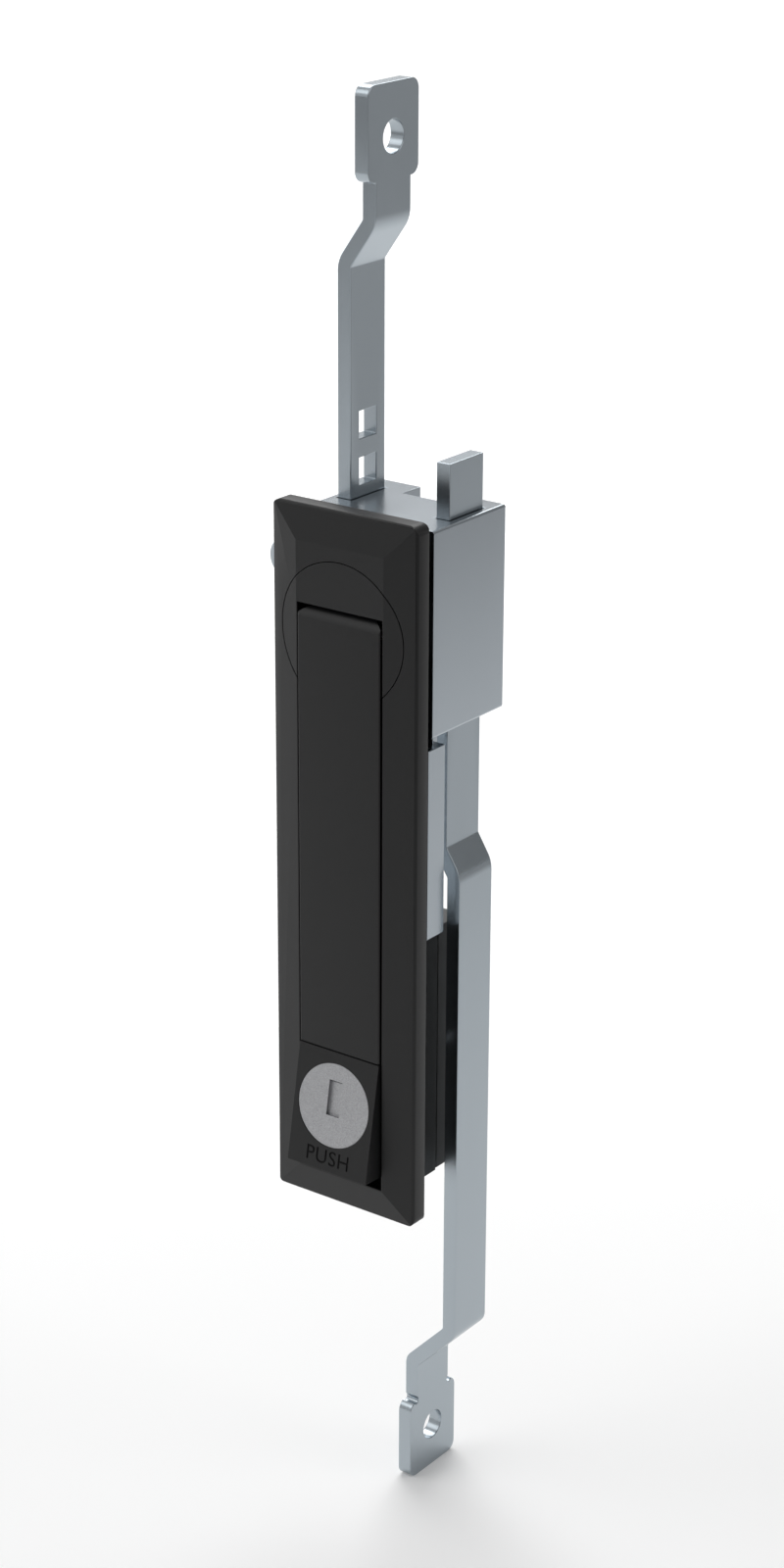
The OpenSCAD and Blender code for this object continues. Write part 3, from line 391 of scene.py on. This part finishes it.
FINISHES: dict[Slot, Finish] = {
    Slot.BLACK_COAT: Finish(
        "satin_black_powder_coat", (0.0045, 0.0046, 0.005), 0.42,
        grain_scale=2600.0, grain_depth=0.006 * MM, coarse_share=0.8, gloss_amount=0.07, specular=0.37,
    ),
    Slot.BLACK_RUBBER: Finish(
        "foamed_black_rubber", (0.014, 0.014, 0.0145), 0.82,
        grain_scale=3200.0, grain_depth=0.03 * MM, tone_amount=0.3,
    ),
    Slot.BLACK_PLASTIC: Finish(
        "spark_grained_black_plastic", (0.008, 0.008, 0.0085), 0.5,
        grain_scale=2200.0, grain_depth=0.012 * MM,
    ),
    Slot.ZINC_SHEET: Finish(
        "zinc_plated_sheet", (0.415, 0.455, 0.49), 0.23, metallic=1.0,
        grain_scale=5200.0, grain_depth=0.0005 * MM, coarse_share=0.2, rolling=Rolling.UPRIGHT,
    ),
    Slot.ZINC_BAR: Finish(
        "zinc_plated_bar", (0.392, 0.436, 0.47), 0.26, metallic=1.0,
        grain_scale=5200.0, grain_depth=0.0005 * MM, coarse_share=0.2, rolling=Rolling.UPRIGHT,
    ),
    Slot.ZINC_FASTENER: Finish(
        "bright_zinc_fastener", (0.6, 0.62, 0.64), 0.24, metallic=1.0,
        grain_scale=6000.0, grain_depth=0.001 * MM,
    ),
    Slot.TURNED_STEEL: Finish(
        "turned_steel", (0.45, 0.46, 0.48), 0.34, metallic=1.0,
        grain_scale=5000.0, grain_depth=0.002 * MM,
    ),
    Slot.SPRING_STEEL: Finish(
        "drawn_spring_steel", (0.34, 0.34, 0.36), 0.32, metallic=1.0,
        grain_scale=7000.0, grain_depth=0.001 * MM,
    ),
    Slot.BRONZE: Finish(
        "sintered_bronze", (0.52, 0.34, 0.15), 0.45, metallic=1.0,
        grain_scale=5200.0, grain_depth=0.01 * MM, tone_amount=0.35,
    ),
    Slot.SATIN_NICKEL: Finish(
        "bead_blasted_nickel", (0.4, 0.403, 0.415), 0.5, metallic=1.0,
        grain_scale=3400.0, grain_depth=0.012 * MM, coarse_share=0.1, tone_amount=0.06, speckle=0.9,
    ),
}
# Painted shade: a darker, less glossy finish for the floor and walls of the sunk letters, in place of
# the shade inside them.
LETTER_SHADE = Finish(
    "painted_shade_letter_floor", (0.003, 0.003, 0.0033), 0.7, grain_scale=2600.0, specular=0.2,
)
# Painted shade: a finish slightly darker than the key face, on the key slot's left wall and nick, in
# place of the shade in them.
SLOT_SHADE = Finish(
    "painted_shade_key_slot", (0.34, 0.343, 0.352), 0.5, metallic=1.0, grain_scale=2600.0,
)


class Wardrobe:
    """Builds each finish once and hands its material out."""

    def __init__(self) -> None:
        """Makes the shared groups, one material for each slot, and the painted shade of the sunk
        letters and of the key slot.
        """
        effects = SharedEffects()
        self._materials = {slot: finish.material(effects) for slot, finish in FINISHES.items()}
        self.letter_shade = LETTER_SHADE.material(effects)
        self.slot_shade = SLOT_SHADE.material(effects)

    def dress(self, piece: bpy.types.Object, slot: Slot) -> None:
        """Gives a piece the finish of a slot.

        Args:
            piece: A CAD node or a new piece.
            slot: The record's slot.
        """
        if not piece.material_slots:
            piece.data.materials.append(None)
        for place in piece.material_slots:
            place.link = "OBJECT"
            place.material = self._materials[slot]


class Workshop:
    """Operations that shape a piece, as by hand.

    Attributes:
        WELD: Distance within which points of a CAD mesh are one point.
        CAD_FLAT: Largest angle between triangles of one flat CAD face.
        EASED_FLAT: Largest angle between slivers of one flat face after its edges are eased.
        SOFT_EDGE: Largest angle that is shaded smooth on an eased piece.
        CAD_EDGE: Largest angle that is shaded smooth on a CAD node.
    """

    WELD = 0.002 * MM
    CAD_FLAT = math.radians(0.5)
    EASED_FLAT = math.radians(0.1)
    SOFT_EDGE = math.radians(12)
    CAD_EDGE = math.radians(32)

    @staticmethod
    def select_only(piece: bpy.types.Object) -> None:
        """Deselects everything else and makes a piece the active one."""
        bpy.ops.object.select_all(action="DESELECT")
        piece.select_set(True)
        bpy.context.view_layer.objects.active = piece

    @staticmethod
    def copy_of_node(node: bpy.types.Object, name: str, split: bool) -> bpy.types.Object:
        """Copies a CAD node as a clean mesh without its triangulation.

        Args:
            node: The CAD node, which stays as it is.
            name: The copy's name.
            split: Whether its flat faces are split into convex ones.

        Returns:
            The copy.
        """
        piece = bpy.data.objects.new(name, node.data.copy())
        bpy.context.scene.collection.objects.link(piece)
        Workshop.select_only(piece)
        bpy.ops.mesh.customdata_custom_splitnormals_clear()
        bpy.ops.object.mode_set(mode="EDIT")
        bpy.ops.mesh.select_all(action="SELECT")
        bpy.ops.mesh.remove_doubles(threshold=Workshop.WELD)
        bpy.ops.mesh.dissolve_limited(angle_limit=Workshop.CAD_FLAT)
        if split:
            bpy.ops.mesh.vert_connect_concave()
        bpy.ops.object.mode_set(mode="OBJECT")
        return piece

    @staticmethod
    def apply(piece: bpy.types.Object, modifier: bpy.types.Modifier) -> None:
        """Applies a modifier to its piece."""
        Workshop.select_only(piece)
        bpy.ops.object.modifier_apply(modifier=modifier.name)

    @staticmethod
    def merge_flats(piece: bpy.types.Object) -> None:
        """Merges the slivers that easing leaves in flat faces, then splits these into convex ones."""
        Workshop.select_only(piece)
        bpy.ops.object.mode_set(mode="EDIT")
        bpy.ops.mesh.select_all(action="SELECT")
        bpy.ops.mesh.dissolve_limited(angle_limit=Workshop.EASED_FLAT)
        bpy.ops.mesh.vert_connect_concave()
        bpy.ops.object.mode_set(mode="OBJECT")

    @staticmethod
    def smooth(piece: bpy.types.Object, angle: float = SOFT_EDGE) -> None:
        """Shades a piece smooth, except across edges sharper than an angle."""
        Workshop.select_only(piece)
        bpy.ops.object.shade_smooth_by_angle(angle=angle)


@dataclass
class EasedPart:
    """A CAD node whose sharp edges are eased, as coating and tumbling leave them.

    Attributes:
        node: The CAD node's name.
        body: The body that it rides on.
        slot: Its material slot.
        ease: Width of the eased edge.
        steps: Faces across the eased edge.
        split: Whether flat faces are split before the easing, which hollow parts need.
        sharp: Least angle of an edge that is eased.
    """

    node: str
    body: str
    slot: Slot
    ease: float = 0.15 * MM
    steps: int = 2
    split: bool = False
    sharp: float = math.radians(30)

    @property
    def name(self) -> str:
        """Name of the eased piece."""
        return f"{self.node}_eased"

    def build(self, nodes: dict[str, bpy.types.Object], wardrobe: Wardrobe) -> bpy.types.Object:
        """Copies the node, eases its edges and puts the copy in its place.

        Args:
            nodes: The CAD nodes by name.
            wardrobe: The finishes.

        Returns:
            The eased piece.
        """
        piece = Workshop.copy_of_node(nodes[self.node], self.name, self.split)
        bevel = piece.modifiers.new("eased_edges", "BEVEL")
        bevel.width = self.ease
        bevel.segments = self.steps
        bevel.limit_method = "ANGLE"
        bevel.angle_limit = self.sharp
        bevel.use_clamp_overlap = False
        Workshop.apply(piece, bevel)
        Workshop.merge_flats(piece)
        Workshop.smooth(piece)
        wardrobe.dress(piece, self.slot)
        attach(piece, self.body)
        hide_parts(self.node)
        return piece


@dataclass
class ButtonLegend:
    """The word sunk into the push button's face, under the key.

    Attributes:
        word: The word.
        height: Height of its capitals.
        middle_z: Height of the word's middle.
        depth: How deep it is sunk.
        spacing: Distance from letter to letter, as a share of the usual one.
        capital: Height of a capital, as a share of the font's size.
        curve_steps: Lines in each part of a letter's curve.
    """

    word: str = "PUSH"
    height: float = 3.9 * MM
    middle_z: float = -76.9 * MM
    depth: float = 0.22 * MM
    spacing: float = 1.06
    capital: float = 0.69
    curve_steps: int = 6

    def cut(self, button: bpy.types.Object, wardrobe: Wardrobe, face: tuple[Vector, Vector]) -> None:
        """Sinks the word into the button, whose sunk floor and walls take a painted shade.

        Args:
            button: The button's piece.
            wardrobe: The finishes.
            face: The top and bottom points of the button's face, on its middle line.
        """
        top, bottom = face
        share = (self.middle_z - top.z) / (bottom.z - top.z)
        middle = top.lerp(bottom, share)
        tilt = math.atan2(top.y - bottom.y, top.z - bottom.z)
        bpy.ops.object.select_all(action="DESELECT")
        bpy.ops.object.text_add(location=middle, rotation=(math.pi / 2 - tilt, 0, 0))
        letters = bpy.context.active_object
        letters.data.body = self.word
        letters.data.align_x = "CENTER"
        letters.data.align_y = "CENTER"
        letters.data.size = self.height / self.capital
        letters.data.extrude = self.depth
        letters.data.space_character = self.spacing
        letters.data.resolution_u = self.curve_steps
        Workshop.select_only(letters)
        bpy.ops.object.convert(target="MESH")
        # The letters carry the painted shade, which the cut gives to the floor and walls of the sunk
        # word.
        letters.data.materials.clear()
        letters.data.materials.append(wardrobe.letter_shade)
        cutter = button.modifiers.new("sunk_word", "BOOLEAN")
        cutter.operation = "DIFFERENCE"
        cutter.solver = "EXACT"
        cutter.material_mode = "TRANSFER"
        cutter.object = letters
        Workshop.apply(button, cutter)
        Workshop.smooth(button)
        bpy.data.objects.remove(letters)


@dataclass(frozen=True)
class KeySlot:
    """Painted shade: a slightly darker finish on the left wall and the nick of the slot that the key
    goes into.

    Attributes:
        outward: Direction in which the key face looks.
        nick: Depths behind the key face between which the nick's surfaces lie.
        reach: Largest distance of the slot from the middle of the key face.
        skin: Depth down to which a point still counts as on the key face.
        facing: Least part of a left wall's normal that points to the right.
    """

    outward: Point = (0.0, -0.984515, 0.175303)
    nick: Span = (1.0 * MM, 1.5 * MM)
    reach: float = 7 * MM
    skin: float = 0.05 * MM
    facing: float = 0.9

    def shade(self, plug: bpy.types.Object, wardrobe: Wardrobe) -> None:
        """Paints shade on the slot's left wall and its nick, as a slightly darker finish.

        Args:
            plug: The key plug's piece.
            wardrobe: The finishes.
        """
        outward = Vector(self.outward)
        front = max(vertex.co.dot(outward) for vertex in plug.data.vertices)
        face = [v.co for v in plug.data.vertices if front - v.co.dot(outward) < self.skin]
        middle = sum(face, Vector()) / len(face)
        plug.data.materials.append(None)
        painted_shade_slot = plug.material_slots[-1]
        painted_shade_slot.link = "OBJECT"
        painted_shade_slot.material = wardrobe.slot_shade
        # Faces of the left wall and of the nick get the painted shade.
        for polygon in plug.data.polygons:
            if (polygon.center - middle).length >= self.reach:
                continue
            depth = front - polygon.center.dot(outward)
            wall = self.skin < depth < self.nick[0] and polygon.normal.x > self.facing
            if wall or self.nick[0] < depth < self.nick[1]:
                polygon.material_index = 1


@dataclass
class Lock:
    """The whole lock: eased castings and sheet parts, and the nodes that keep their CAD shape.

    Attributes:
        eased: Parts whose edges are eased.
        legend: The word on the button.
        key_slot: The slot in the key face.
    """

    eased: list[EasedPart] = field(default_factory=lambda: [
        EasedPart("faceplate_casting", "root", Slot.BLACK_COAT, ease=0.16 * MM),
        EasedPart("turret", "turret", Slot.BLACK_COAT, ease=0.1 * MM, split=True),
        EasedPart("handle", "handle", Slot.BLACK_COAT, ease=0.12 * MM),
        EasedPart("gear_case", "root", Slot.ZINC_SHEET, ease=0.12 * MM, steps=3, split=True),
        EasedPart("clamp_bracket", "root", Slot.ZINC_SHEET, ease=0.2 * MM),
        EasedPart("upper_rod", "upper_rod", Slot.ZINC_BAR, ease=0.18 * MM),
        EasedPart("lower_rod", "lower_rod", Slot.ZINC_BAR, ease=0.18 * MM),
        EasedPart("housing_cover", "root", Slot.BLACK_PLASTIC, ease=0.3 * MM, split=True),
        EasedPart("cam", "turret", Slot.ZINC_SHEET, ease=0.2 * MM),
        EasedPart("push_button", "button", Slot.BLACK_COAT, ease=0.14 * MM),
        EasedPart("key_plug", "key_plug", Slot.SATIN_NICKEL, ease=0.08 * MM),
    ])
    legend: ButtonLegend = field(default_factory=ButtonLegend)
    key_slot: KeySlot = KeySlot()

    def build(self, frame: dict, wardrobe: Wardrobe) -> None:
        """Dresses every CAD node and builds the eased parts.

        Args:
            wardrobe: The finishes.
        """
        nodes = frame["nodes"]
        slots = {part["node"]: Slot(part["material_slot"]) for part in frame["record"]["subparts"]}
        for name, node in nodes.items():
            Workshop.smooth(node, Workshop.CAD_EDGE)
            wardrobe.dress(node, slots[name])
            LOG.info("dressed %s in %s", name, slots[name].value)
        for part in self.eased:
            piece = part.build(nodes, wardrobe)
            LOG.info("eased %s: %d faces", piece.name, len(piece.data.polygons))
            if part.node == "push_button":
                self.legend.cut(piece, wardrobe, self.button_face(nodes["push_button"]))
            if part.node == "key_plug":
                self.key_slot.shade(piece, wardrobe)

    @staticmethod
    def button_face(button: bpy.types.Object) -> tuple[Vector, Vector]:
        """Finds the top and bottom of the button's sloping face.

        Args:
            button: The CAD node of the button.

        Returns:
            The two points on the button's middle line.
        """
        points = [v.co for v in button.data.vertices]
        bottom = min(points, key=lambda p: p.y)
        raised = (p for p in points if p.y < bottom.y / 2)
        # Heights that are equal to 0.01 mm count as one height
        top = max(raised, key=lambda p: (round(p.z, 5), -p.y))
        return Vector((0, top.y, top.z)), Vector((0, bottom.y, bottom.z))


@dataclass(frozen=True)
class SoftBox:
    """A soft area lamp.

    Attributes:
        label: Its name.
        place: Where it hangs.
        aim: The point that it faces.
        width: Its width.
        height: Its height.
        power: Its power in watts.
    """

    label: str
    place: Point
    aim: Point
    width: float
    height: float
    power: float

    def hang(self) -> None:
        """Adds the lamp to the scene."""
        data = bpy.data.lights.new(self.label, "AREA")
        data.shape = "RECTANGLE"
        data.size, data.size_y, data.energy = self.width, self.height, self.power
        lamp = bpy.data.objects.new(self.label, data)
        bpy.context.scene.collection.objects.link(lamp)
        lamp.location = self.place
        toward = Vector(self.aim) - Vector(self.place)
        lamp.rotation_euler = toward.to_track_quat("-Z", "Y").to_euler()


@dataclass(frozen=True)
class CameraStation:
    """The photograph's point of view.

    Attributes:
        place: The camera's place.
        azimuth: Angle round the lock, from straight in front towards its right.
        elevation: Angle above the horizon.
        roll: Turn about the line of sight.
        lens: Focal length in millimetres.
        sensor: Long side of the sensor in millimetres.
        clip: Nearest and furthest distance that the camera sees.
    """

    place: Point = (460.6 * MM, -608.0 * MM, 314.56 * MM)
    azimuth: float = math.radians(36.488)
    elevation: float = math.radians(20.972)
    roll: float = math.radians(0.201)
    lens: float = 75.42
    sensor: float = 36.0
    clip: Span = (0.01, 60.0)

    def set_up(self) -> None:
        """Adds the camera and makes it the scene's."""
        sight = Vector((
            -math.sin(self.azimuth) * math.cos(self.elevation),
            math.cos(self.azimuth) * math.cos(self.elevation),
            -math.sin(self.elevation),
        ))
        right = sight.cross(Vector((0, 0, 1))).normalized()
        up = right.cross(sight)
        across = right * math.cos(self.roll) + up * math.sin(self.roll)
        over = up * math.cos(self.roll) - right * math.sin(self.roll)
        data = bpy.data.cameras.new("photo_camera")
        data.lens = self.lens
        data.sensor_width = self.sensor
        data.clip_start, data.clip_end = self.clip
        camera = bpy.data.objects.new("photo_camera", data)
        bpy.context.scene.collection.objects.link(camera)
        turn = Matrix((across, over, -sight)).transposed().to_4x4()
        camera.matrix_world = Matrix.Translation(self.place) @ turn
        bpy.context.scene.camera = camera


@dataclass(frozen=True)
class PaperFloor:
    """A white paper sheet that runs away from the camera, on a darker floor.

    Attributes:
        across: Direction across the sheet.
        along: Direction along the sheet, away from the camera.
        shift: Distance by which the sheet lies to the left of the lock.
        spread: How much the sheet widens, for each metre away from the camera.
        edge: Distances across the sheet between which it fades into the floor.
        colours: Grey of the sheet and of the floor.
        glow: Light that the sheet and the floor give off themselves.
        rise: Extra light for each metre away from the camera.
        roughness: Roughness of the sheet and of the floor.
        size: Side of the whole floor.
    """

    across: Point = (0.804, 0.595, 0.0)
    along: Point = (-0.595, 0.804, 0.0)
    shift: float = 0.4
    spread: float = 1.2
    edge: Span = (0.42, 1.25)
    colours: Span = (0.84, 0.3)
    glow: Span = (0.1, 0.06)
    rise: float = 0.2
    roughness: float = 0.9
    size: float = 60.0

    def lay(self, height: float) -> None:
        """Lays the floor, which keeps the lock's shadow.

        Args:
            height: The floor's height.
        """
        bpy.ops.object.select_all(action="DESELECT")
        bpy.ops.mesh.primitive_plane_add(size=self.size, location=(0, 0, height))
        floor = bpy.context.active_object
        floor.name = "studio_floor"
        floor.data.materials.append(self._material())
        floor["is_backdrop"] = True

    def _material(self) -> bpy.types.Material:
        """Builds the floor's material.

        Returns:
            The new material.
        """
        material = bpy.data.materials.new("paper_on_floor")
        material.use_nodes = True
        bench = ShaderBench(material.node_tree)
        shader = material.node_tree.nodes["Principled BSDF"]
        across, behind = self._places(bench)
        away = self._distance_from_sheet(bench, across, behind)
        bench.feed(shader, "Base Color", bench.fade(away, self.edge, self.colours))
        bench.feed(shader, "Roughness", self.roughness)
        rays = bench.add("ShaderNodeLightPath").outputs
        mirrored = bench.maths("MAXIMUM", rays["Is Glossy Ray"], rays["Is Transmission Ray"])
        seen = bench.maths("MAXIMUM", rays["Is Camera Ray"], mirrored)
        glow = bench.add("ShaderNodeEmission")
        further = bench.maths("MULTIPLY", behind, self.rise)
        level = bench.maths("ADD", bench.fade(away, self.edge, self.glow), further)
        bench.feed(glow, "Strength", bench.maths("MULTIPLY", seen, level))
        both = bench.add("ShaderNodeAddShader")
        bench.feed(both, 0, shader.outputs[0])
        bench.feed(both, 1, glow.outputs[0])
        bench.feed(material.node_tree.nodes["Material Output"], "Surface", both.outputs[0])
        return material

    def _places(self, bench: ShaderBench) -> tuple[bpy.types.NodeSocket, bpy.types.NodeSocket]:
        """Measures the floor across the sheet and away from the camera.

        Args:
            bench: The floor's node tree.

        Returns:
            Sockets with the place across the sheet, and with the distance behind the lock.
        """
        place = bench.add("ShaderNodeTexCoord").outputs["Object"]
        shares = []
        for direction in (self.across, self.along):
            dot = bench.add("ShaderNodeVectorMath", operation="DOT_PRODUCT")
            bench.feed(dot, 0, place)
            bench.feed(dot, 1, direction)
            shares.append(dot.outputs["Value"])
        return shares[0], bench.maths("MAXIMUM", shares[1], 0.0)

    def _distance_from_sheet(
        self, bench: ShaderBench, across: bpy.types.NodeSocket, behind: bpy.types.NodeSocket
    ) -> bpy.types.NodeSocket:
        """Gives the distance across the sheet, less where the sheet is wider.

        Args:
            bench: The floor's node tree.
            across: Place across the sheet.
            behind: Distance behind the lock.

        Returns:
            The distance's socket.
        """
        aside = bench.maths("ABSOLUTE", bench.maths("ADD", across, self.shift), 0.0)
        width = bench.maths("ADD", bench.maths("MULTIPLY", behind, self.spread), 1.0)
        return bench.maths("DIVIDE", aside, width)


@dataclass
class Studio:
    """Pale floor, soft light and camera.

    Attributes:
        floor_z: Height of the floor.
        room_greys: Brightness of the room on the lock's left and on its right.
        room_reach: Parts of a direction along X between which the room's grey changes.
        floor: The paper sheet and the floor under it.
        boxes: The soft lamps.
        camera: The camera.
    """

    floor_z: float
    room_greys: Span = (0.6, 0.27)
    room_reach: Span = (-0.4, 0.55)
    floor: PaperFloor = PaperFloor()
    boxes: tuple[SoftBox, ...] = (
        SoftBox("back_box", (-0.75, 1.0, 1.5), (0, 0, -0.15), 1.5, 1.5, 25.0),
        SoftBox("key_box", (-0.9, -1.1, 1.3), (0, 0, 0), 1.0, 1.0, 4.0),
        SoftBox("right_box", (1.5, 0.5, 0.9), (0, 0, 0), 0.9, 1.2, 4.0),
        SoftBox("left_box", (-1.4, -0.6, 0.25), (0, 0, -0.02), 0.9, 0.6, 3.0),
    )
    camera: CameraStation = CameraStation()

    def set_up(self) -> None:
        """Builds the studio round the lock."""
        self._furnish_room()
        self.floor.lay(self.floor_z)
        for box in self.boxes:
            box.hang()
        self.camera.set_up()
        bpy.context.scene.view_settings.view_transform = "Standard"

    def _furnish_room(self) -> None:
        """Makes a grey room that is lighter on the lock's left than on its right."""
        world = bpy.data.worlds.new("studio_room")
        bpy.context.scene.world = world
        world.use_nodes = True
        bench = ShaderBench(world.node_tree)
        sides = bench.add("ShaderNodeSeparateXYZ")
        bench.feed(sides, 0, bench.add("ShaderNodeTexCoord").outputs["Generated"])
        grey = bench.fade(sides.outputs["X"], self.room_reach, self.room_greys)
        bench.feed(world.node_tree.nodes["Background"], "Color", grey)


def main() -> None:
    """Builds the dressed lock and its studio."""
    logging.basicConfig(level=logging.INFO, format="%(message)s")
    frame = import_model()
    cad_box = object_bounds()
    Studio(floor_z=cad_box[0].z).set_up()
    Lock().build(frame, Wardrobe())


if __name__ == "__main__":
    main()
